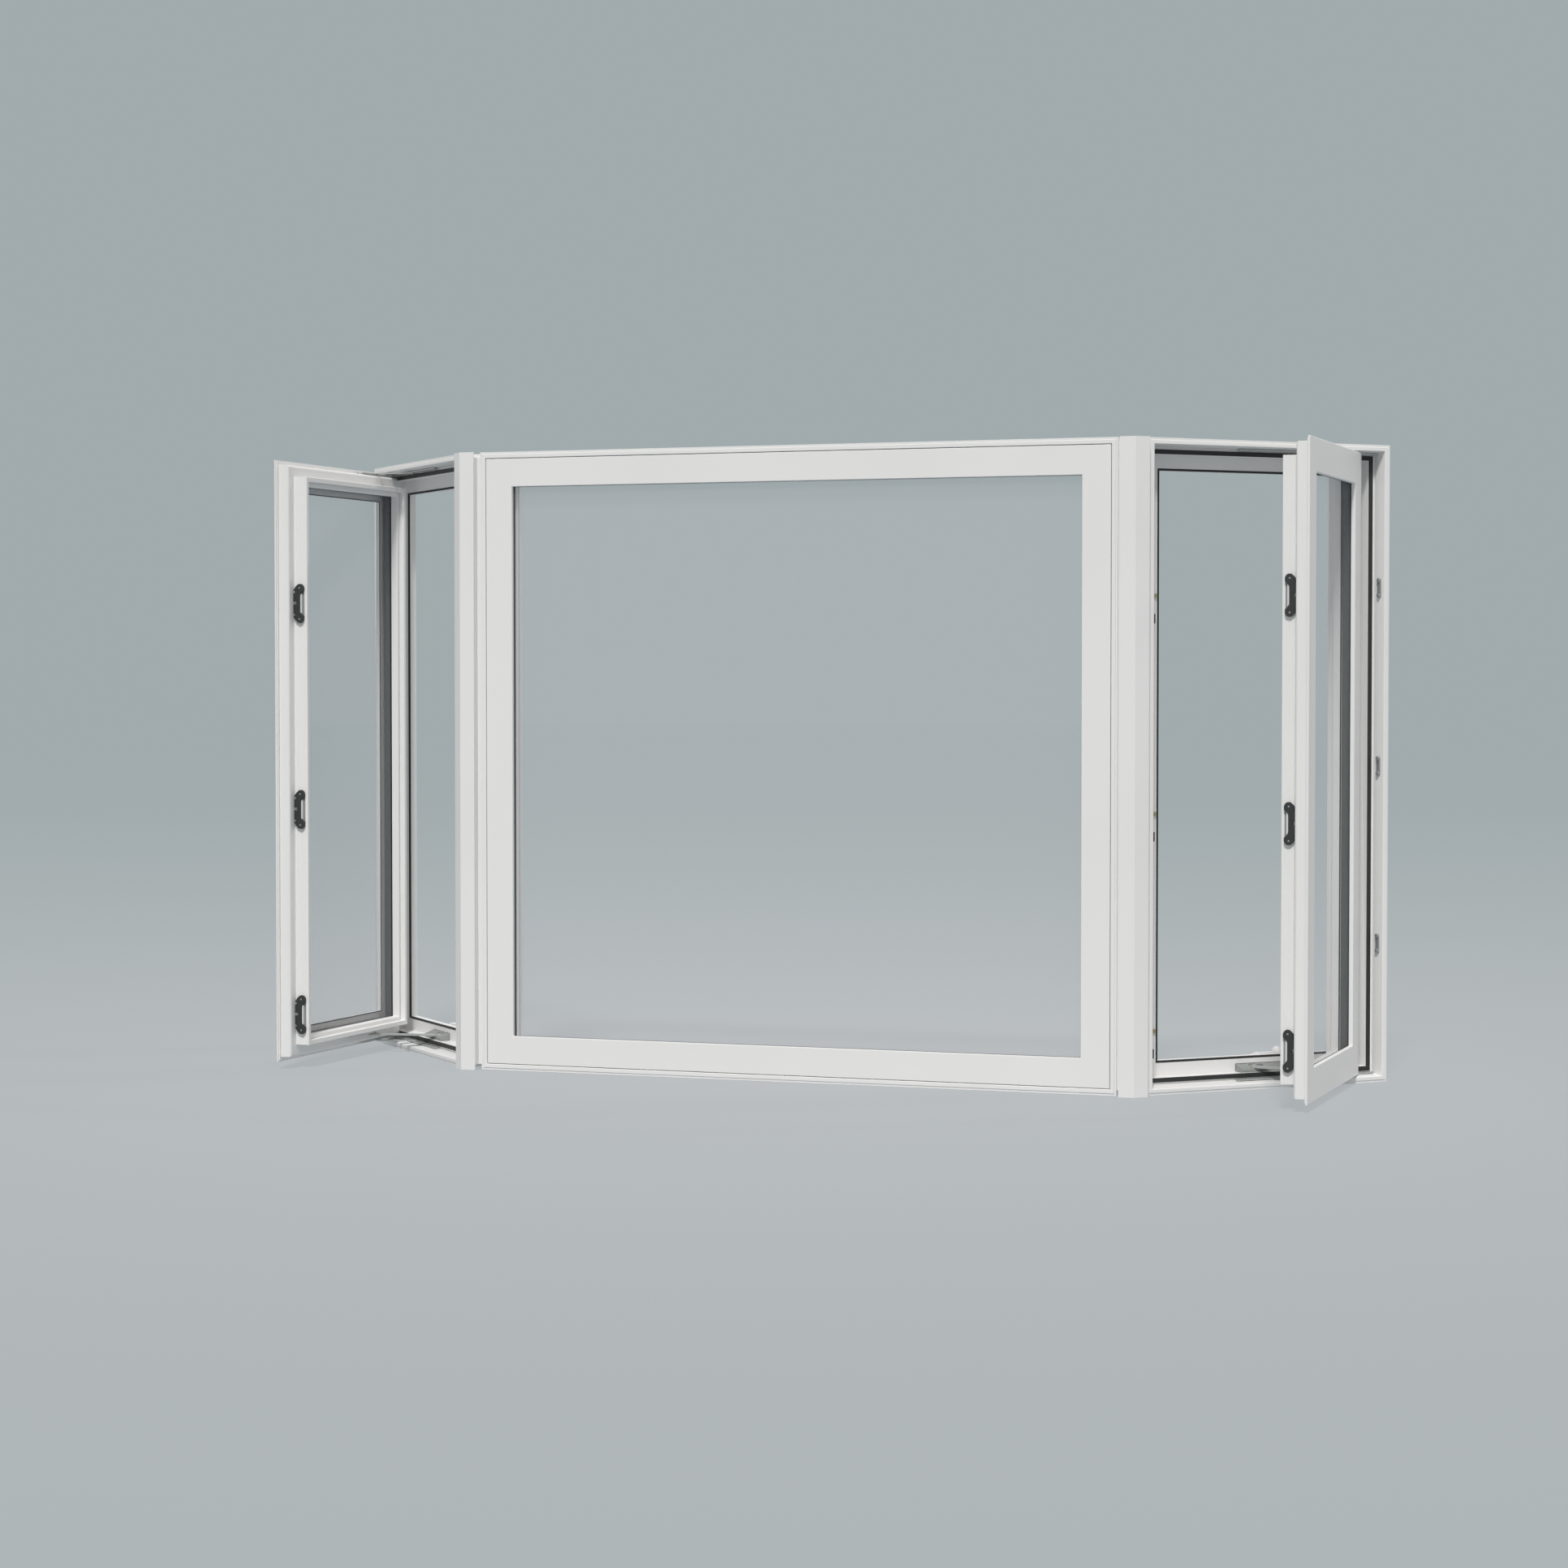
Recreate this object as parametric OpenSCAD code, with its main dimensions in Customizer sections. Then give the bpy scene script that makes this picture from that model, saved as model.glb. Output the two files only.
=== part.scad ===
// Bay window: a fixed centre unit between two outward casements, joined by
// corner posts. Depths run from the outside face towards the room.

/* [Bay] */
// Height of all three frames
bay_h = 1524; // [1000:1:2100]
// Width of the fixed centre unit
centre_w = 1614; // [900:1:2400]
// Width of each flanking casement unit
flank_w = 670; // [560:1:900]
// Turn of each flanking unit away from the centre unit
bay_angle = 45; // [30:1:60]
// Angle at which both sashes stand open
sash_open = 45; // [45:1:75]
// How far an open sash has moved in from its wall-side jamb
sash_shift = 70; // [62:1:90]

/* [Frame section] */
// Depth of the frames, outside face to room face
frame_d = 92; // [90:0.5:110]
// Width of the set-back nose around the outside face
nose_w = 5; // [3:0.5:8]
// How far the nose is set back
nose_d = 1.5; // [1:0.5:5]
// Width of the outside lip, nose included
lip_w = 15; // [12:0.5:18]
// Inset of the sloping reveal where it ends
reveal_w = 18.5; // [18:0.5:21]
// Depth at which the sloping reveal ends
reveal_d = 32.5; // [25:0.5:34]
// Depth of the face that carries the weatherstrip
seat_d = 38; // [36:0.5:40]
// Inset of the inner wall
web_w = 35.5; // [33:0.5:38]
// Depth of the wide inner face
web_d = 72; // [72:0.5:76]
// Inset of the outer edge of the inner gasket
stop_w = 66.5; // [64:0.5:70]
// Depth of the gasket groove
stop_d = 76; // [75:0.5:80]
// Inset of the clear opening
room_w = 72; // [71.5:0.5:78]

/* [Sash section] */
// Gap between the frame's lip and the sash all round
sash_gap = 3.5; // [2.5:0.5:5]
// Gap between the frame's lip and the fixed sash
fixed_gap = 1.5; // [1:0.5:3.5]
// Thickness of a sash
sash_t = 69; // [66:0.5:69]
// Thickness of the sash's outside lip
sash_lip = 7; // [5:0.5:9]
// Set-in of the flange behind the lip
flange_in = 11.5; // [9:0.5:14]
// Depth of the flange's room side
flange_d = 33.5; // [31:0.5:33.5]
// Set-in of the sash's room-side part
body_in = 40; // [36:0.5:44]
// Width of stiles and rails of a casement sash
sash_face = 77; // [70:0.5:90]
// Width of stiles and rails of the fixed sash
fixed_face = 69; // [64:0.5:80]
// Width of a sash's room-side wall, outside the bead
wall_w = 12; // [9:0.5:14]
// Width of the bead that holds the glass
bead_w = 10.5; // [8:0.5:12]
// How far the bead lies below the sash's room face
bead_low = 13; // [4:0.5:16]

/* [Glass] */
// Depth of the glass behind the sash's outside face
glass_d = 11.6; // [9:0.1:14]
// Thickness of one pane
pane_t = 3; // [3:0.5:6]
// Distance between the two panes
spacer_t = 18.4; // [12:0.1:20]
// How much of the pane's edge the bead hides
glass_bite = 9; // [7:0.5:9.5]
// Thickness of the glazing gaskets
glazing_seal_t = 1.5; // [1:0.1:2]

/* [Seals] */
// Width of the outer weatherstrip
strip_w = 10.5; // [8:0.5:12]
// Thickness of the weatherstrip with the sash open
strip_t = 3.5; // [3:0.5:5]
// Width of the inner gasket
inner_seal_w = 5; // [3:0.5:5]
// How far the inner gasket stands proud of the inner face
inner_seal_proud = 1; // [0.5:0.5:2]

/* [Corner posts] */
// From a frame's edge to the corner where the outside faces would meet
post_face = 39.2; // [36:0.2:50]
// How far the post cover stands proud of the frames
cover_proud = 18; // [10:1:25]
// Thickness of the post cover
cover_t = 3; // [2:0.5:5]
// Set-in of the cover's edges from the frames
cover_in = 9; // [6:0.5:12]
// Set-back of the post at the joint
post_back = 4; // [2:0.5:8]
// Set-in of the post and the cover's legs from head and sill
post_end_in = 13; // [8:1:20]

/* [Hardware] */
// Height of the middle keeper above the sill
lock_mid_z = 643.5; // [500:0.5:900]
// Spacing of the three locking points
lock_pitch = 509.5; // [380:0.5:600]
// Length of a keeper
keeper_h = 96; // [80:1:110]
// Width of a keeper
keeper_w = 27; // [24:0.5:30]
// Thickness of a keeper
keeper_t = 7; // [2:0.5:9]
// Diameter of a locking roller
roller_dia = 9; // [8:0.5:12]
// Height of the middle snubber above the sill
snubber_mid_z = 758; // [600:1:900]
// Spacing of the three snubbers
snubber_pitch = 426; // [300:1:500]
// Length of a snubber
snubber_h = 47; // [40:1:60]
// Length of the hinge tracks
track_l = 386; // [300:1:420]
// Width of the hinge tracks
track_w = 10; // [8:0.5:10]
// Distance of the operator's middle from the post-side edge
operator_x = 350; // [270:1:400]
// Length of the operator housing
operator_l = 125; // [100:1:140]
// Height of the operator housing
operator_h = 17; // [14:0.5:18]
// Height of the operator's middle above the sill
operator_z = 45; // [44.5:0.5:52]
// Distance of the operator's shoe from the sash's hinge edge
shoe_x = 196; // [150:1:230]

/* [Hidden] */
$fn = 48;

vinyl = "whitesmoke";
seal_black = "#2a2c2c";
hinge_steel = "#8c908e";

// Seated pieces keep this much air where their faces are not square to each other.
seat = 0.2;
// Air between the open sash and the parts of the frame that it passes.
swing_clear = 1.2;

// Sizes of the sash and its place in the closed frame.
sash_in = lip_w + sash_gap;
sash_w = flank_w - 2 * sash_in;
sash_h = bay_h - 2 * sash_in;
fixed_in = lip_w + fixed_gap;
fixed_w = centre_w - 2 * fixed_in;
fixed_h = bay_h - 2 * fixed_in;
closed_d = 1;

// Depths of the insulating glass unit inside a sash.
back_pane_d = glass_d + pane_t + spacer_t;
bead_d = back_pane_d + pane_t + glazing_seal_t;

// The open sash turns about its hinge-side outside corner, which stands as deep
// as its flange and lip can go before they meet the weatherstrip and the reveal.
flange_reach = flange_d * cos(sash_open) - flange_in * sin(sash_open);
flange_limit = seat_d - strip_t - flange_reach;
lip_limit = reveal_d - 3 - sash_lip * cos(sash_open);
sash_back = min(flange_limit, lip_limit) - swing_clear;

// Corner between two units, seen from above on the right-hand side.
corner_x = centre_w / 2 + post_face;
flank_x = corner_x + post_face * cos(bay_angle);
flank_y = post_face * sin(bay_angle);
room_corner_d = post_face / tan(bay_angle / 2);
post_d = min(frame_d, room_corner_d) - 6;

lock_z = [for (i = [-1:1]) lock_mid_z + i * lock_pitch];
snubber_z = [for (i = [-1:1]) snubber_mid_z + i * snubber_pitch];

// ---- placing ----

// Centre unit: its own corner is at the lower left, outside face at depth 0.
module centre_place() {
    translate([-centre_w / 2, -frame_d / 2, 0]) children();
}

// Right flanking unit: x runs from the post to the wall, y towards the room.
module right_place() {
    translate([flank_x, flank_y - frame_d / 2, 0]) rotate([0, 0, bay_angle]) children();
}

module left_place() {
    mirror([1, 0, 0]) right_place() children();
}

// Open sash in its flanking unit: x runs from the free edge to the hinge edge.
module sash_place() {
    translate([flank_w - sash_shift, sash_back, sash_in])
        rotate([0, 0, sash_open])
            translate([-sash_w, 0, 0]) children();
}

module fixed_place() {
    centre_place() translate([fixed_in, closed_d, fixed_in]) children();
}

// ---- sections ----

// Mitred rectangle of bars with one section: points are [inset, depth].
module mitred_ring(w, h, section) {
    reach = max([for (p = section) p[0]]);
    depth = max([for (p = section) p[1]]) + 1;
    module bar(length) {
        intersection() {
            rotate([90, 0, 90]) linear_extrude(length)
                polygon([for (p = section) [p[1], p[0]]]);
            translate([0, depth, 0]) rotate([90, 0, 0]) linear_extrude(depth)
                polygon([[0, 0], [length, 0], [length - reach, reach], [reach, reach]]);
        }
    }
    bar(w);
    translate([0, 0, h]) mirror([0, 0, 1]) bar(w);
    translate([w, 0, 0]) rotate([0, -90, 0]) bar(h);
    translate([w, 0, 0]) mirror([1, 0, 0]) translate([w, 0, 0]) rotate([0, -90, 0]) bar(h);
}

function box_section(in0, in1, d0, d1) = [[in0, d0], [in1, d0], [in1, d1], [in0, d1]];

edge = 1; // small chamfer along visible edges
front_seal_w = 2;

frame_section = [
    [0, nose_d], [nose_w, nose_d], [nose_w, edge], [nose_w + edge, 0],
    [lip_w - edge, 0], [lip_w, edge], [reveal_w, reveal_d],
    [reveal_w, seat_d], [web_w, seat_d], [web_w, web_d],
    [stop_w, web_d], [stop_w, stop_d], [room_w, stop_d], [room_w, frame_d],
    [0, frame_d]];

// Fine grooves along the edge of the sash's room-side part.
groove_w = 1.2;
groove_d = 0.8;
bead_wall = body_in + wall_w;
pane_edge = bead_wall + bead_w - glass_bite;

function groove(d) = [
    [body_in, d + groove_w / 2], [body_in + groove_d, d + groove_w / 2],
    [body_in + groove_d, d - groove_w / 2], [body_in, d - groove_w / 2]];

function sash_section(face) = concat(
    [[0, edge], [edge, 0], [face - edge, 0], [face, edge],
     [face, glass_d - glazing_seal_t], [bead_wall, glass_d - glazing_seal_t],
     [bead_wall, sash_t - edge], [bead_wall - edge, sash_t],
     [body_in + edge, sash_t], [body_in, sash_t - edge]],
    groove(flange_d + 0.77 * (sash_t - flange_d)),
    groove(flange_d + 0.5 * (sash_t - flange_d)),
    groove(flange_d + 0.23 * (sash_t - flange_d)),
    [[body_in, flange_d], [flange_in + 5.5, flange_d],
     [flange_in + 2, flange_d - 1.5], [flange_in, flange_d - 5],
     [flange_in, sash_lip], [4, sash_lip], [4, sash_lip - 2.5], [0, sash_lip - 2.5]]);

bead_section = [
    [bead_wall, bead_d], [bead_wall + bead_w, bead_d],
    [bead_wall + bead_w, sash_t - bead_low - 2 * edge],
    [bead_wall + bead_w - 2 * edge, sash_t - bead_low],
    [bead_wall + edge, sash_t - bead_low], [bead_wall, sash_t - bead_low - edge]];

// ---- pieces shared by the three units ----

module frame_ring(w) {
    color(vinyl) mitred_ring(w, bay_h, frame_section);
}

module weatherstrip(w, thick) {
    out = web_w - strip_w;
    crown = 1;
    color(seal_black) mitred_ring(w, bay_h, [
        [out, seat_d], [out, seat_d - thick + crown], [out + crown, seat_d - thick],
        [web_w - crown, seat_d - thick], [web_w, seat_d - thick + crown], [web_w, seat_d]]);
}

module inner_gasket() {
    out = stop_w;
    color(seal_black) mitred_ring(flank_w, bay_h, [
        [out, stop_d], [out, web_d - inner_seal_proud + edge],
        [out + edge, web_d - inner_seal_proud],
        [out + inner_seal_w - edge, web_d - inner_seal_proud],
        [out + inner_seal_w, web_d - inner_seal_proud + edge],
        [out + inner_seal_w, stop_d]]);
}

module sash_ring(w, h, face) {
    color(vinyl) mitred_ring(w, h, sash_section(face));
}

module glazing_bead(w, h) {
    color(vinyl) mitred_ring(w, h, bead_section);
}

// A narrow gasket lies along the lip in front of the glass, a wide one behind the glass.
module glazing_gasket(w, h, face) {
    color(seal_black) {
        mitred_ring(w, h,
            box_section(face - front_seal_w, face + 0.7, glass_d - glazing_seal_t, glass_d));
        mitred_ring(w, h,
            box_section(pane_edge, bead_wall + bead_w - 0.5, bead_d - glazing_seal_t, bead_d));
    }
}

module spacer(w, h) {
    color("#4a4d4d") mitred_ring(w, h,
        box_section(pane_edge + 2, bead_wall + bead_w - 1, glass_d + pane_t, back_pane_d));
}

module panes(w, h) {
    color("lightblue", 0.35) for (d = [glass_d, back_pane_d])
        translate([pane_edge, d, pane_edge])
            cube([w - 2 * pane_edge, pane_t, h - 2 * pane_edge]);
}

// ---- corner posts ----

// A point on a frame's end face, in plan: on the centre unit or on the flank.
function centre_end(d, away) = [centre_w / 2 + away, d];
function flank_end(d, away) = [
    flank_x - away * cos(bay_angle) - d * sin(bay_angle),
    flank_y - away * sin(bay_angle) + d * cos(bay_angle)];
function corner_at(d) = [corner_x - d * tan(bay_angle / 2), d];

module corner_post() {
    color(vinyl) translate([0, -frame_d / 2, post_end_in])
        linear_extrude(bay_h - 2 * post_end_in)
            polygon([centre_end(post_back, seat), centre_end(post_d, seat),
                flank_end(post_d, seat), flank_end(post_back, seat),
                corner_at(post_back)]);
}

module post_cover() {
    inner = cover_t - cover_proud;
    foot = post_back - seat;
    color(vinyl) translate([0, -frame_d / 2, 0]) {
        linear_extrude(bay_h)
            polygon([centre_end(-cover_proud, cover_in), centre_end(inner, cover_in),
                corner_at(inner), flank_end(inner, cover_in),
                flank_end(-cover_proud, cover_in), corner_at(-cover_proud)]);
        translate([0, 0, post_end_in]) linear_extrude(bay_h - 2 * post_end_in) {
            polygon([centre_end(inner - edge, cover_in), centre_end(foot, cover_in),
                centre_end(foot, cover_in + cover_t),
                centre_end(inner - edge, cover_in + cover_t)]);
            polygon([flank_end(inner - edge, cover_in), flank_end(foot, cover_in),
                flank_end(foot, cover_in + cover_t),
                flank_end(inner - edge, cover_in + cover_t)]);
        }
    }
}

// ---- locking points ----

// Keeper plate with two screw ends, a waist cut back on the room side and three
// notches on the outside. Drawn flat: x towards the room, y up.
keeper_off = 1.5; // from the flange to the keeper
module keeper_outline() {
    w = keeper_w;
    top = keeper_h / 2;
    upper = [[0, top - 0.54 * w], [0.2 * w, top - 0.24 * w], [0.48 * w, top],
        [0.74 * w, top], [0.9 * w, top - 0.12 * w], [w, top - 0.32 * w],
        [w, top - 0.62 * w], [0.75 * w, top - 0.82 * w], [0.62 * w, top - 1.08 * w]];
    difference() {
        polygon(concat(upper,
            [for (i = [len(upper) - 1:-1:0]) [upper[i][0], -upper[i][1]]]));
        for (s = [-1, 1]) translate([1, s * (top - 0.74 * w)]) circle(3);
        translate([3.5, 1]) circle(4.6);
    }
}

module keepers() {
    color(seal_black) sash_place()
        for (z = lock_z) translate([body_in, flange_d + keeper_off, z - sash_in])
            rotate([90, 0, -90]) mirror([1, 0, 0]) linear_extrude(keeper_t) keeper_outline();
}

// Place of the rollers and slots on the post-side jamb's inner face.
roller_x = (web_w + stop_w) / 2 + 8.5;
roller_up = 8;
slot_drop = 54;
slot_w = 5.5;
slot_h = 22;
slot_depth = 10;
roller_l = 5;

module lock_rollers() {
    color("#8f8a6a") for (z = lock_z) translate([roller_x, web_d, z + roller_up])
        rotate([90, 0, 0]) {
            cylinder(d = 0.6 * roller_dia, h = roller_l);
            translate([0, 0, 2]) cylinder(d = roller_dia, h = roller_l - 2);
        }
}

module lock_slots() {
    for (z = lock_z) translate([roller_x - slot_w / 2, web_d - 1, z + roller_up - slot_drop - slot_h / 2])
        cube([slot_w, slot_depth + 1, slot_h]);
}

// Snubbers on the sloping reveal of the wall-side jamb: a plate under two heads.
snubber_d0 = 11;
snubber_d1 = 24;
snubber_plate = 1.6;
snubber_head = 2.6;
reveal_slope = (reveal_w - lip_w) / (reveal_d - edge);

module snubbers() {
    mid = (snubber_d0 + snubber_d1) / 2;
    x0 = lip_w + reveal_slope * (snubber_d1 - edge) + seat;
    color(hinge_steel) for (z = snubber_z) translate([flank_w - x0, 0, z]) {
        translate([-snubber_plate, snubber_d0, -snubber_h / 2 + 3])
            cube([snubber_plate, snubber_d1 - snubber_d0, snubber_h - 6]);
        for (s = [-1, 1])
            translate([-snubber_plate - snubber_head, mid, s * (snubber_h / 2 - 5.5)])
                rotate([0, 90, 0]) cylinder(d = 11, h = snubber_head + snubber_plate);
    }
}

// ---- hinges ----

// Stack above the sill: track, support arm, sash arm, then the sash's flange.
flange_z = sash_in + flange_in;
track_d0 = reveal_d - track_w + 1;
track_z0 = reveal_w + seat;
track_z1 = 22.4;
support_z1 = 25;
arm_z1 = flange_z - 0.3;
arm_w = 18;
track_end_x = flank_w - reveal_w - 4;
track_mid_d = track_d0 + track_w / 2;
arm_d = (sash_lip + flange_d) / 2;
arm_l = 190;
support_on_arm = 130;
support_on_track = 235;

// Plan position, in the flanking unit, of a point under the open sash.
function sash_point(from_hinge, d) = [
    flank_w - sash_shift - from_hinge * cos(sash_open) - d * sin(sash_open),
    sash_back - from_hinge * sin(sash_open) + d * cos(sash_open)];

// Flat bar with round ends between two plan points.
module flat_bar(a, b, w, z0, z1) {
    run = b - a;
    translate([a[0], a[1], z0]) rotate([0, 0, atan2(run[1], run[0])]) {
        translate([0, -w / 2, 0]) cube([norm(run), w, z1 - z0]);
        cylinder(d = w, h = z1 - z0);
        translate([norm(run), 0, 0]) cylinder(d = w, h = z1 - z0);
    }
}

module head_and_sill() {
    children();
    translate([0, 0, bay_h]) mirror([0, 0, 1]) children();
}

module hinge_tracks() {
    rib = 1.2;
    color(hinge_steel) head_and_sill() difference() {
        translate([0, track_mid_d, 0]) union() {
            translate([track_end_x - track_l + track_w / 2, -track_w / 2, track_z0])
                cube([track_l - track_w / 2, track_w, track_z1 - track_z0]);
            translate([track_end_x - track_l + track_w / 2, 0, track_z0])
                cylinder(d = track_w, h = track_z1 - track_z0);
        }
        for (s = [-1, 1]) translate([track_end_x - track_l + track_w,
            track_mid_d + s * track_w / 5 - rib / 2, track_z1 - 1])
            cube([track_l, rib, 2]);
    }
}

module hinge_arms() {
    hinge_end = sash_point(flange_in + arm_w / 2, arm_d);
    free_end = sash_point(flange_in + arm_l, arm_d);
    link_end = sash_point(support_on_arm, arm_d);
    track_pin = [flank_w - support_on_track, track_mid_d];
    color(hinge_steel) head_and_sill() {
        flat_bar(hinge_end, free_end, arm_w, support_z1, arm_z1);
        flat_bar(track_pin, link_end, track_w, track_z1 + seat, support_z1);
    }
}

// ---- operator ----

operator_pocket = 16;
pocket_clear = 1;
operator_front_d = 47;
operator_front_h = 8;
operator_arm_t = 4;
slot_clear = 0.3;
operator_arm_z = operator_z - operator_h / 2 + operator_front_h;
sash_track_l = 210;
sash_track_w = 15;
sash_track_h = 8;
sash_track_x = 225;

module operator_cut() {
    translate([operator_x - operator_l / 2 - pocket_clear, web_d - 1,
        operator_z - operator_h / 2 - seat])
        cube([operator_l + 2 * pocket_clear, operator_pocket + 1,
            operator_h + pocket_clear + seat]);
}

// Plan positions of the arm's pivot in the housing and of its shoe on the sash.
arm_pivot = [operator_x - 19, operator_front_d + 12];
function shoe_at() = sash_point(shoe_x, flange_d + sash_track_w / 2 + 1);

module operator_housing() {
    z0 = operator_z - operator_h / 2;
    color(hinge_steel) difference() {
        translate([operator_x - operator_l / 2, 0, z0])
            rotate([90, 0, 90]) linear_extrude(operator_l) polygon([
                [operator_front_d, 0], [web_d + operator_pocket - seat, 0],
                [web_d + operator_pocket - seat, operator_h], [web_d, operator_h],
                [operator_front_d + 2, operator_front_h], [operator_front_d, operator_front_h - 2]]);
        translate([arm_pivot[0], arm_pivot[1], operator_arm_z]) {
            cylinder(r = 13 + slot_clear, h = operator_h);
            translate([-13 - slot_clear, -30, 0]) cube([40, 30, operator_h]);
            translate([0, -30, 0]) cube([27 - slot_clear, 38, operator_h]);
        }
    }
}

// The tapered arm lies in the housing's notch and reaches under the open sash.
module operator_arm() {
    run = shoe_at() - arm_pivot;
    neck = 13;
    color(hinge_steel) translate([arm_pivot[0], arm_pivot[1], operator_arm_z])
        rotate([0, 0, atan2(run[1], run[0])]) linear_extrude(operator_arm_t) {
            polygon([[0, -13], [norm(run), -neck / 2], [norm(run), neck / 2], [0, 13]]);
            circle(13);
            translate([norm(run), 0]) circle(d = neck);
        }
    color(hinge_steel) translate([arm_pivot[0], arm_pivot[1], operator_arm_z])
        cylinder(r = 6, h = operator_arm_t + 2);
}

// Channel under the sash's room-side part, and the shoe that runs in it.
module sash_track() {
    wall = 1.5;
    z1 = body_in;
    color("gainsboro") sash_place()
        translate([sash_w - sash_track_x - sash_track_l / 2, flange_d + 1,
            z1 - sash_track_h - seat])
            difference() {
                cube([sash_track_l, sash_track_w, sash_track_h]);
                translate([-1, wall, -1])
                    cube([sash_track_l + 2, sash_track_w - 2 * wall, sash_track_h - wall + 1]);
            }
}

module operator_shoe() {
    wall = 1.5;
    low = operator_arm_z + operator_arm_t - sash_in;
    top = body_in - seat - wall - slot_clear;
    color("#a08a4c") sash_place()
        translate([sash_w - shoe_x, flange_d + 1 + sash_track_w / 2, low]) {
            translate([-14, -sash_track_w / 2 + wall + slot_clear, 0])
                cube([28, sash_track_w - 2 * wall - 2 * slot_clear, top - low]);
            translate([-14, -sash_track_w / 2, 0])
                cube([28, sash_track_w, body_in - seat - sash_track_h - slot_clear - low]);
        }
}

// Low cover on the room side of the sill, with the folded crank on top.
cover_l = 150;
cover_h = 26;
cover_d = 20;
crank_z = 58;

module crank_cover() {
    color(vinyl) translate([operator_x - cover_l / 2, frame_d, crank_z - cover_h])
        rotate([90, 0, 90]) linear_extrude(cover_l)
            polygon([[0, 0], [cover_d, 0], [cover_d, 0.6 * cover_h],
                [0.6 * cover_d, cover_h], [0, cover_h]]);
}

// The crank's knob lies towards the wall (turn = 1) or the post (turn = -1).
module crank_handle(turn) {
    arm_len = 62;
    knob_r = 11;
    color(vinyl) translate([operator_x + 12, frame_d + 13, crank_z + seat]) {
        cylinder(r = 10, h = 12);
        translate([turn > 0 ? 0 : -arm_len, -6, 8]) cube([arm_len, 12, 8]);
        translate([turn * arm_len, 0, 6]) {
            cylinder(r = knob_r, h = 12);
            translate([0, 0, 12]) sphere(r = knob_r);
        }
    }
}

// ---- nodes ----

module centre_frame() { centre_place() frame_ring(centre_w); }
module centre_weatherstrip() {
    centre_place() weatherstrip(centre_w, seat_d - flange_d - closed_d);
}
module centre_sash() { fixed_place() sash_ring(fixed_w, fixed_h, fixed_face); }
module centre_glazing_bead() { fixed_place() glazing_bead(fixed_w, fixed_h); }
module centre_glazing_gasket() { fixed_place() glazing_gasket(fixed_w, fixed_h, fixed_face); }
module centre_spacer() { fixed_place() spacer(fixed_w, fixed_h); }
module centre_glass() { fixed_place() panes(fixed_w, fixed_h); }

module flank_frame() {
    color(vinyl) difference() {
        frame_ring(flank_w);
        lock_slots();
        operator_cut();
    }
}
module flank_sash() { sash_place() sash_ring(sash_w, sash_h, sash_face); }
module flank_bead() { sash_place() glazing_bead(sash_w, sash_h); }
module flank_gasket() { sash_place() glazing_gasket(sash_w, sash_h, sash_face); }
module flank_spacer() { sash_place() spacer(sash_w, sash_h); }
module flank_glass() { sash_place() panes(sash_w, sash_h); }

centre_frame();
centre_weatherstrip();
centre_sash();
centre_glazing_bead();
centre_glazing_gasket();
centre_spacer();
centre_glass();

left_place() flank_frame();  // left_frame
left_place() weatherstrip(flank_w, strip_t);  // left_weatherstrip
left_place() inner_gasket();  // left_inner_gasket
left_place() flank_sash();  // left_sash
left_place() flank_bead();  // left_glazing_bead
left_place() flank_gasket();  // left_glazing_gasket
left_place() flank_spacer();  // left_spacer
left_place() flank_glass();  // left_glass
left_place() keepers();  // left_keepers
left_place() lock_rollers();  // left_lock_rollers
left_place() snubbers();  // left_snubbers
left_place() hinge_tracks();  // left_hinge_tracks
left_place() hinge_arms();  // left_hinge_arms
left_place() operator_housing();  // left_operator
left_place() operator_arm();  // left_operator_arm
left_place() operator_shoe();  // left_operator_shoe
left_place() sash_track();  // left_sash_track
left_place() crank_cover();  // left_crank_cover
left_place() crank_handle(-1);  // left_crank_handle
mirror([1, 0, 0]) corner_post();  // left_corner_post
mirror([1, 0, 0]) post_cover();  // left_post_cover

right_place() flank_frame();  // right_frame
right_place() weatherstrip(flank_w, strip_t);  // right_weatherstrip
right_place() inner_gasket();  // right_inner_gasket
right_place() flank_sash();  // right_sash
right_place() flank_bead();  // right_glazing_bead
right_place() flank_gasket();  // right_glazing_gasket
right_place() flank_spacer();  // right_spacer
right_place() flank_glass();  // right_glass
right_place() keepers();  // right_keepers
right_place() lock_rollers();  // right_lock_rollers
right_place() snubbers();  // right_snubbers
right_place() hinge_tracks();  // right_hinge_tracks
right_place() hinge_arms();  // right_hinge_arms
right_place() operator_housing();  // right_operator
right_place() operator_arm();  // right_operator_arm
right_place() operator_shoe();  // right_operator_shoe
right_place() sash_track();  // right_sash_track
right_place() crank_cover();  // right_crank_cover
right_place() crank_handle(1);  // right_crank_handle
corner_post();  // right_corner_post
post_cover();  // right_post_cover
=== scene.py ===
import math

import bmesh
import bpy
from mathutils import Matrix, Vector


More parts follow.
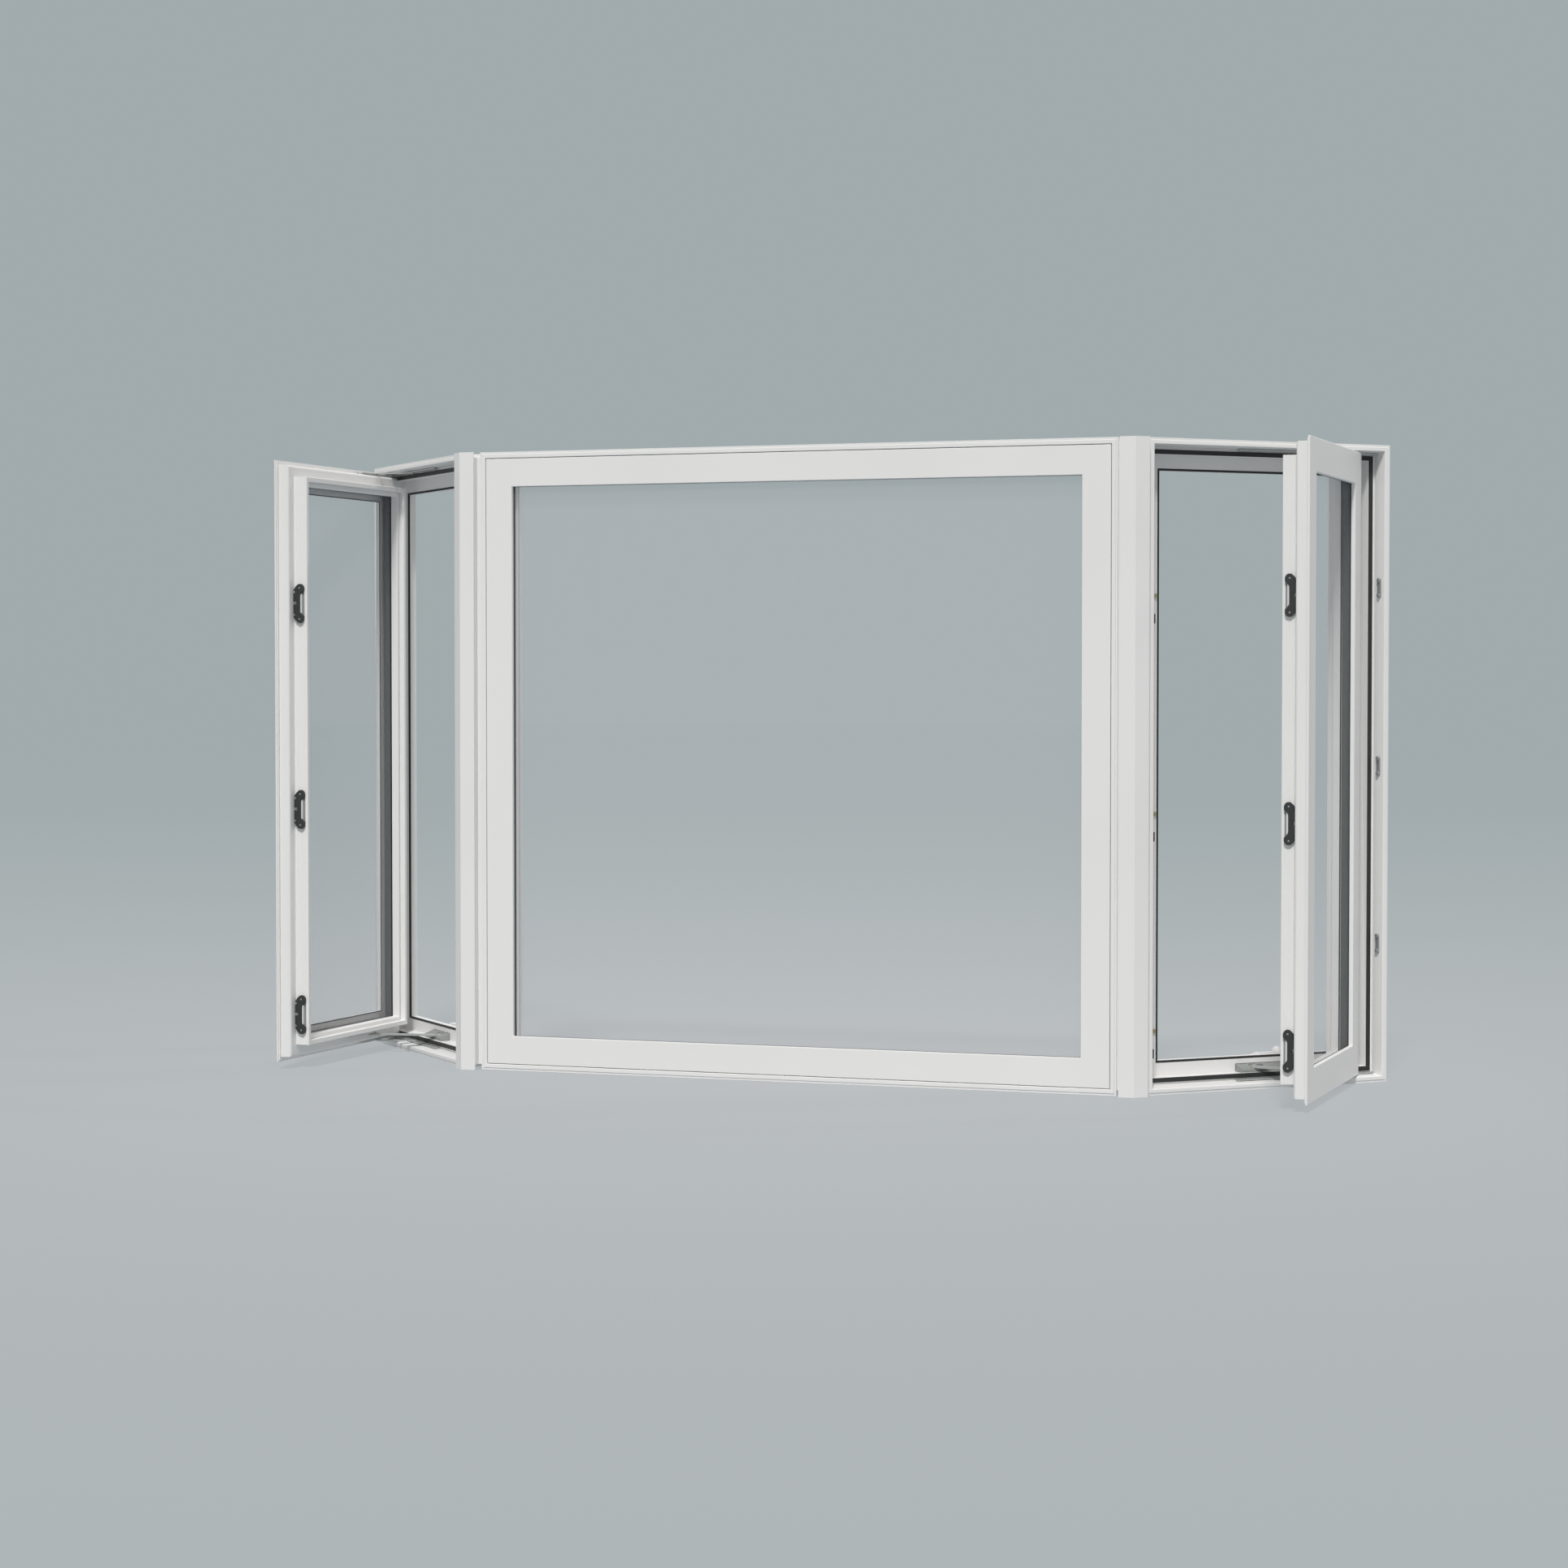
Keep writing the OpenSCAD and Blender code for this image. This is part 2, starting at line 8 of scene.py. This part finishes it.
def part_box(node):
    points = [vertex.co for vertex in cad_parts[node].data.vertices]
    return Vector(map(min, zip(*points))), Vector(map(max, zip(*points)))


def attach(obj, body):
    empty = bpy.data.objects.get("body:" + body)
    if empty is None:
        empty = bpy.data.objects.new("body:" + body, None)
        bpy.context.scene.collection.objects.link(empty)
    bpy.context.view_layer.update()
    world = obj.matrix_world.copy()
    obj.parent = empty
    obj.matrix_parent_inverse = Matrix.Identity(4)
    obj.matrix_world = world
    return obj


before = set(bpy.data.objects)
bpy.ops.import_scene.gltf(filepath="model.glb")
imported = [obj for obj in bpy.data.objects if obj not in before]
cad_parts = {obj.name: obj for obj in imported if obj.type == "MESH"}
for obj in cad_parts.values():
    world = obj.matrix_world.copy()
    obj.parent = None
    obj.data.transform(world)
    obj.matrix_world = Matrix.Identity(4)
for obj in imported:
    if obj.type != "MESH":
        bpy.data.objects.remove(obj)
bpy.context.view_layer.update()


# ---------------------------------------------------------------- frames, posts and covers
# Three PVC frames stand on one level, extruded, mitred and welded at the corners.
# Corner posts and their two-faced covers are extruded from the same white PVC.
def linear(hex_colour):
    """Linear RGBA from an sRGB hex colour."""
    values = [int(hex_colour[i:i + 2], 16) / 255 for i in (1, 3, 5)]
    return [v / 12.92 if v <= 0.04045 else ((v + 0.055) / 1.055) ** 2.4 for v in values] + [1]


def add_node(tree, kind, settings, links=()):
    """Adds a shader node. Settings are properties or input values; links are (from socket, input)."""
    node = tree.nodes.new(kind)
    for key, value in settings.items():
        if isinstance(key, int) or key in node.inputs.keys():
            node.inputs[key].default_value = value
        else:
            setattr(node, key, value)
    for source, key in links:
        tree.links.new(source, node.inputs[key])
    return node


def new_material(name, settings):
    """A material with one principled shader; settings are that shader's inputs."""
    material = bpy.data.materials.new(name)
    material.use_nodes = True
    shader = material.node_tree.nodes["Principled BSDF"]
    for key, value in settings.items():
        shader.inputs[key].default_value = value
    return material


def dress(material, edge_mm, *nodes):
    """Gives CAD nodes a material, and rounds their edges by edge_mm once their corners are welded."""
    for name in nodes:
        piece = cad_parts[name]
        piece.data.materials.clear()
        piece.data.materials.append(material)
        if edge_mm:
            weld = piece.modifiers.new("Weld", "WELD")
            weld.merge_threshold = 0.00002
            bevel = piece.modifiers.new("Bevel", "BEVEL")
            bevel.width = edge_mm / 1000
            bevel.segments = 2
            bevel.limit_method = "ANGLE"
            bevel.angle_limit = math.radians(25)
            bevel.harden_normals = True


# Extruded PVC: satin white. Its tone drifts a little over each 400 mm, and a haze softens its
# highlights, drawn at nine grains to 10 mm, coarser than the real one, so that it shows.
drift_mm, haze_mm = 400, 10 / 9
vinyl = new_material("extruded PVC, satin white", {
    "Roughness": 0.42, "Specular IOR Level": 0.35})
tree = vinyl.node_tree
shader = tree.nodes["Principled BSDF"]
place = add_node(tree, "ShaderNodeTexCoord", {})
drift = add_node(tree, "ShaderNodeTexNoise", {"Scale": 1000 / drift_mm, "Detail": 2.0},
                 [(place.outputs["Object"], "Vector")])
tone = add_node(tree, "ShaderNodeMix",
                {"data_type": "RGBA", 6: linear("#e6e6e5"), 7: linear("#ececec")},
                [(drift.outputs["Fac"], 0)])
grain = add_node(tree, "ShaderNodeTexNoise", {"Scale": 1000 / haze_mm, "Detail": 1.0},
                 [(place.outputs["Object"], "Vector")])
relief = add_node(tree, "ShaderNodeBump", {"Strength": 0.04, "Distance": 0.0001},
                  [(grain.outputs["Fac"], "Height")])
tree.links.new(tone.outputs[2], shader.inputs["Base Color"])
tree.links.new(relief.outputs[0], shader.inputs["Normal"])
dress(vinyl, 0.4, "centre_frame", "left_frame", "right_frame", "left_corner_post", "right_corner_post")
dress(vinyl, 0, "left_post_cover", "right_post_cover")


# ---------------------------------------------------------------- weatherstrips and gaskets
# Extruded EPDM lies on the frame's step and round the room-side opening, and beds the glass.
# It is pressed into grooves and joined at the corners.

# Extruded EPDM: matte black that turns slightly grey where light grazes it.
rubber = new_material("extruded EPDM, black", {
    "Base Color": linear("#2a2c2c"), "Roughness": 0.62, "Specular IOR Level": 0.4})
dress(rubber, 0.3, "centre_weatherstrip", "left_weatherstrip", "right_weatherstrip",
      "left_inner_gasket", "right_inner_gasket",
      "centre_glazing_gasket", "left_glazing_gasket", "right_glazing_gasket")


# ---------------------------------------------------------------- sashes and beads
# One fixed sash and two open casements, welded from the same white PVC as the frames.
# A bead clipped in on the room side holds each glass unit.
dress(vinyl, 0.4, "centre_sash", "left_sash", "right_sash",
      "centre_glazing_bead", "left_glazing_bead", "right_glazing_bead")


# ---------------------------------------------------------------- glass units
# Two panes of clear float glass are sealed to a warm-edge spacer bar between them.
# Each unit is bedded on gaskets in its sash.

# Warm-edge polymer spacer: even dark grey, no shine.
spacer_bar = new_material("warm-edge spacer, dark grey", {
    "Base Color": linear("#4b4e4f"), "Roughness": 0.55})
dress(spacer_bar, 0, "centre_spacer", "left_spacer", "right_spacer")

# Clear float glass: nearly all light passes, and each face adds a cool reflection and a trace
# of haze.
glass = new_material("clear float glass", {})
tree = glass.node_tree
tree.nodes.remove(tree.nodes["Principled BSDF"])
clear = add_node(tree, "ShaderNodeBsdfTransparent", {"Color": linear("#fefefe")})
sheen = add_node(tree, "ShaderNodeBsdfGlossy", {"Color": linear("#e4e6f0"), "Roughness": 0.02})
haze = add_node(tree, "ShaderNodeBsdfDiffuse", {"Color": linear("#f4f6fb")})
film = add_node(tree, "ShaderNodeMixShader", {0: 0.25}, [(haze.outputs[0], 1), (sheen.outputs[0], 2)])
pane = add_node(tree, "ShaderNodeMixShader", {0: 0.044}, [(clear.outputs[0], 1), (film.outputs[0], 2)])
tree.links.new(pane.outputs[0], tree.nodes["Material Output"].inputs["Surface"])
dress(glass, 0, "centre_glass", "left_glass", "right_glass")


# ---------------------------------------------------------------- keepers
# Three black coated keepers are screwed to each sash's free edge, each with two steel screws.
# A pale latch bar runs beside each keeper's waist, with a thin grey strip along it that is painted
# shade, standing in for the shaded groove beside the bar.
def add_piece(name, shape, material):
    """Turns a bmesh into a piece that stays with the window and takes a finish from a slot."""
    bmesh.ops.recalc_face_normals(shape, faces=shape.faces)
    mesh = bpy.data.meshes.new(name)
    shape.to_mesh(mesh)
    shape.free()
    mesh.materials.append(material)
    piece = bpy.data.objects.new(name, mesh)
    bpy.context.scene.collection.objects.link(piece)
    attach(piece, "root")


def add_box(shape, low, high, place):
    """Adds a box between two corners, in metres, in the space that the matrix gives."""
    low, high = Vector(low), Vector(high)
    size = high - low
    bmesh.ops.create_cube(shape, size=1, matrix=place @ Matrix.Translation((low + high) / 2)
                          @ Matrix.Diagonal((size.x, size.y, size.z, 1)))


# Powder coated steel: black, low sheen.
black_coat = new_material("powder coated steel, black", {
    "Base Color": linear("#2b2e2d"), "Roughness": 0.5})
dress(black_coat, 0.5, "left_keepers", "right_keepers")
# Zinc plated steel: mid grey with a soft metal shine.
zinc = new_material("zinc plated steel, satin", {
    "Base Color": linear("#a3a6a6"), "Metallic": 0.6, "Roughness": 0.45})
# Fresh zinc plating: almost white where it faces the light.
bright_zinc = new_material("zinc plated steel, bright", {
    "Base Color": linear("#dcdddd"), "Metallic": 0.3, "Roughness": 0.4})
# Painted groove shade: a plain grey strip, no shine, that stands in for the shade in the groove beside
# each latch bar.
groove_shade_grey = new_material("painted groove shade, grey", {
    "Base Color": linear("#8d8f8f"), "Roughness": 0.5})

# The right side is worked out in metres, and the left side mirrors it.
sides = {"left": Matrix.Diagonal((-1, 1, 1, 1)), "right": Matrix()}
keeper_h = 0.096
keeper_low, keeper_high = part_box("right_keepers")
keeper_heights = [keeper_low.z + keeper_h / 2, (keeper_low.z + keeper_high.z) / 2,
                  keeper_high.z - keeper_h / 2]
outer, face, back = keeper_high.x, keeper_low.y, keeper_high.y
# Distances in from the keeper's outer edge, and half lengths above and below its middle.
screw_in, screw_up = 0.016, 0.0385
bar_near, bar_far, bar_half = 0.0175, 0.0215, 0.024
strip_far, strip_half = 0.0265, 0.029
# Each screw's head is a low cone, sunk a little into the keeper.
head_base, head_top, head_depth, head_sunk = 0.0024, 0.0019, 0.0008, 0.0003
# Bars and the painted shade strips stand out of the keeper's back plane, and reach a little behind it.
bar_rise, strip_rise, behind = 0.005, 0.0007, 0.0005

for name, side in sides.items():
    screws, bars, shade_strips = bmesh.new(), bmesh.new(), bmesh.new()
    for height in keeper_heights:
        for end in (-1, 1):
            spot = Vector((outer - screw_in, face + head_sunk - head_depth / 2,
                           height + end * screw_up))
            bmesh.ops.create_cone(screws, cap_ends=True, segments=20, radius1=head_base,
                                  radius2=head_top, depth=head_depth,
                                  matrix=side @ Matrix.Translation(spot)
                                  @ Matrix.Rotation(math.radians(90), 4, "X"))
        add_box(bars, (outer - bar_far, back - bar_rise, height - bar_half),
                (outer - bar_near, back + behind, height + bar_half), side)
        # The grey strip is painted shade, standing in for the groove beside the bar.
        add_box(shade_strips, (outer - strip_far, back - strip_rise, height - strip_half),
                (outer - bar_far, back + behind, height + strip_half), side)
    add_piece(name + "_keeper_screws", screws, zinc)
    add_piece(name + "_latch_bars", bars, bright_zinc)
    add_piece(name + "_painted_groove_shade", shade_strips, groove_shade_grey)


# ---------------------------------------------------------------- lock rollers, slots and snubbers
# A steel roller stands on the jamb opposite each keeper, above a slot. A thin black box in each slot is
# painted shade that stands in for its dark hollow.
# Zinc plated snubbers are screwed to the wall-side jamb.

# Yellow passivated steel: dull brassy grey.
roller_steel = new_material("yellow passivated steel", {
    "Base Color": linear("#b3a87c"), "Metallic": 1.0, "Roughness": 0.4})
dress(roller_steel, 0.3, "left_lock_rollers", "right_lock_rollers")
dress(zinc, 0.3, "left_snubbers", "right_snubbers")
# Painted slot shade: a dull black box that stands in for the shade inside each slot.
slot_shade_black = new_material("painted slot shade, black", {
    "Base Color": linear("#262828"), "Roughness": 0.7})

# The painted slot shades' places are taken from the middle of the rollers, square to the jamb, which is
# turned 45 degrees.
roller_r, slot_drop, jamb_turn = 0.0045, 0.054, 45
shade_w, shade_h = 0.005, 0.0216
shade_near, shade_far = 0.0042, 0.0119
roller_low, roller_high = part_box("right_lock_rollers")
middle = (roller_low + roller_high) / 2
for name, side in sides.items():
    slot_shades = bmesh.new()
    for roller_z in (roller_low.z + roller_r, middle.z, roller_high.z - roller_r):
        slot_middle = Vector((middle.x, middle.y, roller_z - slot_drop))
        jamb = Matrix.Translation(slot_middle) @ Matrix.Rotation(math.radians(jamb_turn), 4, "Z")
        # Each box is painted shade, standing in for the dark hollow of the slot.
        add_box(slot_shades, (-shade_w / 2, shade_near, -shade_h / 2),
                (shade_w / 2, shade_far, shade_h / 2), side @ jamb)
    add_piece(name + "_painted_slot_shades", slot_shades, slot_shade_black)


# ---------------------------------------------------------------- hinges
# Sliding tracks are screwed to head and sill, and carry the flat riveted arms that hold each
# sash. The operator's arm is pressed from the same stainless strip.

# Brushed stainless steel: grey with a broad, soft shine. Its brush marks are too fine to show.
steel = new_material("stainless steel strip, brushed", {
    "Base Color": linear("#b4b7b6"), "Metallic": 0.5, "Roughness": 0.42})
dress(steel, 0.3, "left_hinge_tracks", "right_hinge_tracks", "left_hinge_arms", "right_hinge_arms",
      "left_operator_arm", "right_operator_arm")


# ---------------------------------------------------------------- crank operators
# A die-cast housing is let into each sill. Its arm ends in a shoe that slides in a channel under
# the sash, and a moulded cover and a folded crank stand on the room side.

# Painted die-cast zinc: flat mid grey.
coat = new_material("painted zinc casting, grey", {
    "Base Color": linear("#8f928f"), "Roughness": 0.55})
dress(coat, 0.6, "left_operator", "right_operator")
# Cast brass: dull yellow.
brass = new_material("cast brass, dull", {
    "Base Color": linear("#b08d55"), "Metallic": 1.0, "Roughness": 0.45})
dress(brass, 0.3, "left_operator_shoe", "right_operator_shoe")
# Anodised aluminium: pale silver.
channel = new_material("anodised aluminium, pale", {
    "Base Color": linear("#d3d5d5"), "Metallic": 0.4, "Roughness": 0.4})
dress(channel, 0.2, "left_sash_track", "right_sash_track")
# Moulded ABS: white, a little glossier than the frames.
moulding = new_material("moulded ABS, white", {
    "Base Color": linear("#ededed"), "Roughness": 0.3})
dress(moulding, 0.8, "left_crank_cover", "right_crank_cover", "left_crank_handle", "right_crank_handle")


# ---------------------------------------------------------------- studio
# A pale grey floor fades into an even grey backdrop. A high, soft lamp lights the front from the
# right, and a weak one lights the room side. The camera stands about 8 m away, to the right.
scene = bpy.context.scene
floor_size, floor_drop = 120, 0.0005
bpy.ops.mesh.primitive_plane_add(size=floor_size, location=(0, 0, -floor_drop))
floor = bpy.context.object
floor.name = "studio_floor"

# Painted floor: matte, with faint soft shadows near the window, and fading into the backdrop.
floor_grey, backdrop_grey = "#b9bdc0", "#a1abad"
kept_per_metre = 0.84  # share of the floor's own grey that is left after each metre
shadow_share = 0.22  # share of the floor's look that takes light and shadow
floor_paint = new_material("matte floor paint, pale grey", {
    "Base Color": linear(floor_grey), "Roughness": 0.95})
tree = floor_paint.node_tree
shader = tree.nodes["Principled BSDF"]
place = add_node(tree, "ShaderNodeTexCoord", {})
reach = add_node(tree, "ShaderNodeVectorMath", {"operation": "LENGTH"}, [(place.outputs["Object"], 0)])
near = add_node(tree, "ShaderNodeMath", {"operation": "POWER", 0: kept_per_metre},
                [(reach.outputs["Value"], 1)])
tone = add_node(tree, "ShaderNodeMix",
                {"data_type": "RGBA", 6: linear(backdrop_grey), 7: linear(floor_grey)},
                [(near.outputs[0], 0)])
glow = add_node(tree, "ShaderNodeEmission", {"Strength": 1.0}, [(tone.outputs[2], "Color")])
share = add_node(tree, "ShaderNodeMath", {"operation": "MULTIPLY", 1: shadow_share},
                 [(near.outputs[0], 0)])
blend = add_node(tree, "ShaderNodeMixShader", {},
                 [(share.outputs[0], 0), (glow.outputs[0], 1), (shader.outputs[0], 2)])
tree.links.new(blend.outputs[0], tree.nodes["Material Output"].inputs["Surface"])
floor.data.materials.append(floor_paint)

# Studio air: backdrop grey when seen directly, a soft warm fill on surfaces, and a brighter cool
# white in reflections.
world = bpy.data.worlds.new("even studio air")
scene.world = world
world.use_nodes = True
air = world.node_tree
backdrop = air.nodes["Background"]
backdrop.inputs["Color"].default_value = linear(backdrop_grey)
backdrop.inputs["Strength"].default_value = 1.0
fill = add_node(air, "ShaderNodeBackground", {"Color": linear("#f6f3ef"), "Strength": 0.40})
mirror = add_node(air, "ShaderNodeBackground", {"Color": linear("#eeeff4"), "Strength": 0.80})
path = add_node(air, "ShaderNodeLightPath", {})
lit = add_node(air, "ShaderNodeMixShader", {}, [
    (path.outputs["Is Glossy Ray"], 0), (fill.outputs[0], 1), (mirror.outputs[0], 2)])
either = add_node(air, "ShaderNodeMixShader", {}, [
    (path.outputs["Is Camera Ray"], 0), (lit.outputs[0], 1), (backdrop.outputs[0], 2)])
air.links.new(either.outputs[0], air.nodes["World Output"].inputs["Surface"])


def lamp(name, heading, height, spread, power):
    """A sun lamp, with its angles in degrees: heading is to the right of -Y, height is above the
    floor, and spread is how wide it looks."""
    data = bpy.data.lights.new(name, "SUN")
    data.angle = math.radians(spread)
    data.energy = power
    data.color = (1.0, 0.985, 0.965)
    light = bpy.data.objects.new(name, data)
    light.rotation_euler = (math.radians(90 - height), 0, math.radians(heading))
    scene.collection.objects.link(light)


lamp("key_lamp", heading=11, height=54, spread=9, power=2.5)
lamp("back_lamp", heading=125, height=38, spread=5, power=0.45)

scene.view_settings.view_transform = "Standard"
camera_tilt, camera_turn = 1.754, 19.77
camera = bpy.data.objects.new("camera", bpy.data.cameras.new("camera"))
camera.location = (2.757, -7.746, 0.966)
camera.rotation_euler = (math.radians(90 - camera_tilt), 0, math.radians(camera_turn))
camera.data.lens = 78.6
camera.data.sensor_width = 36
camera.data.clip_end = 300
scene.collection.objects.link(camera)
scene.camera = camera
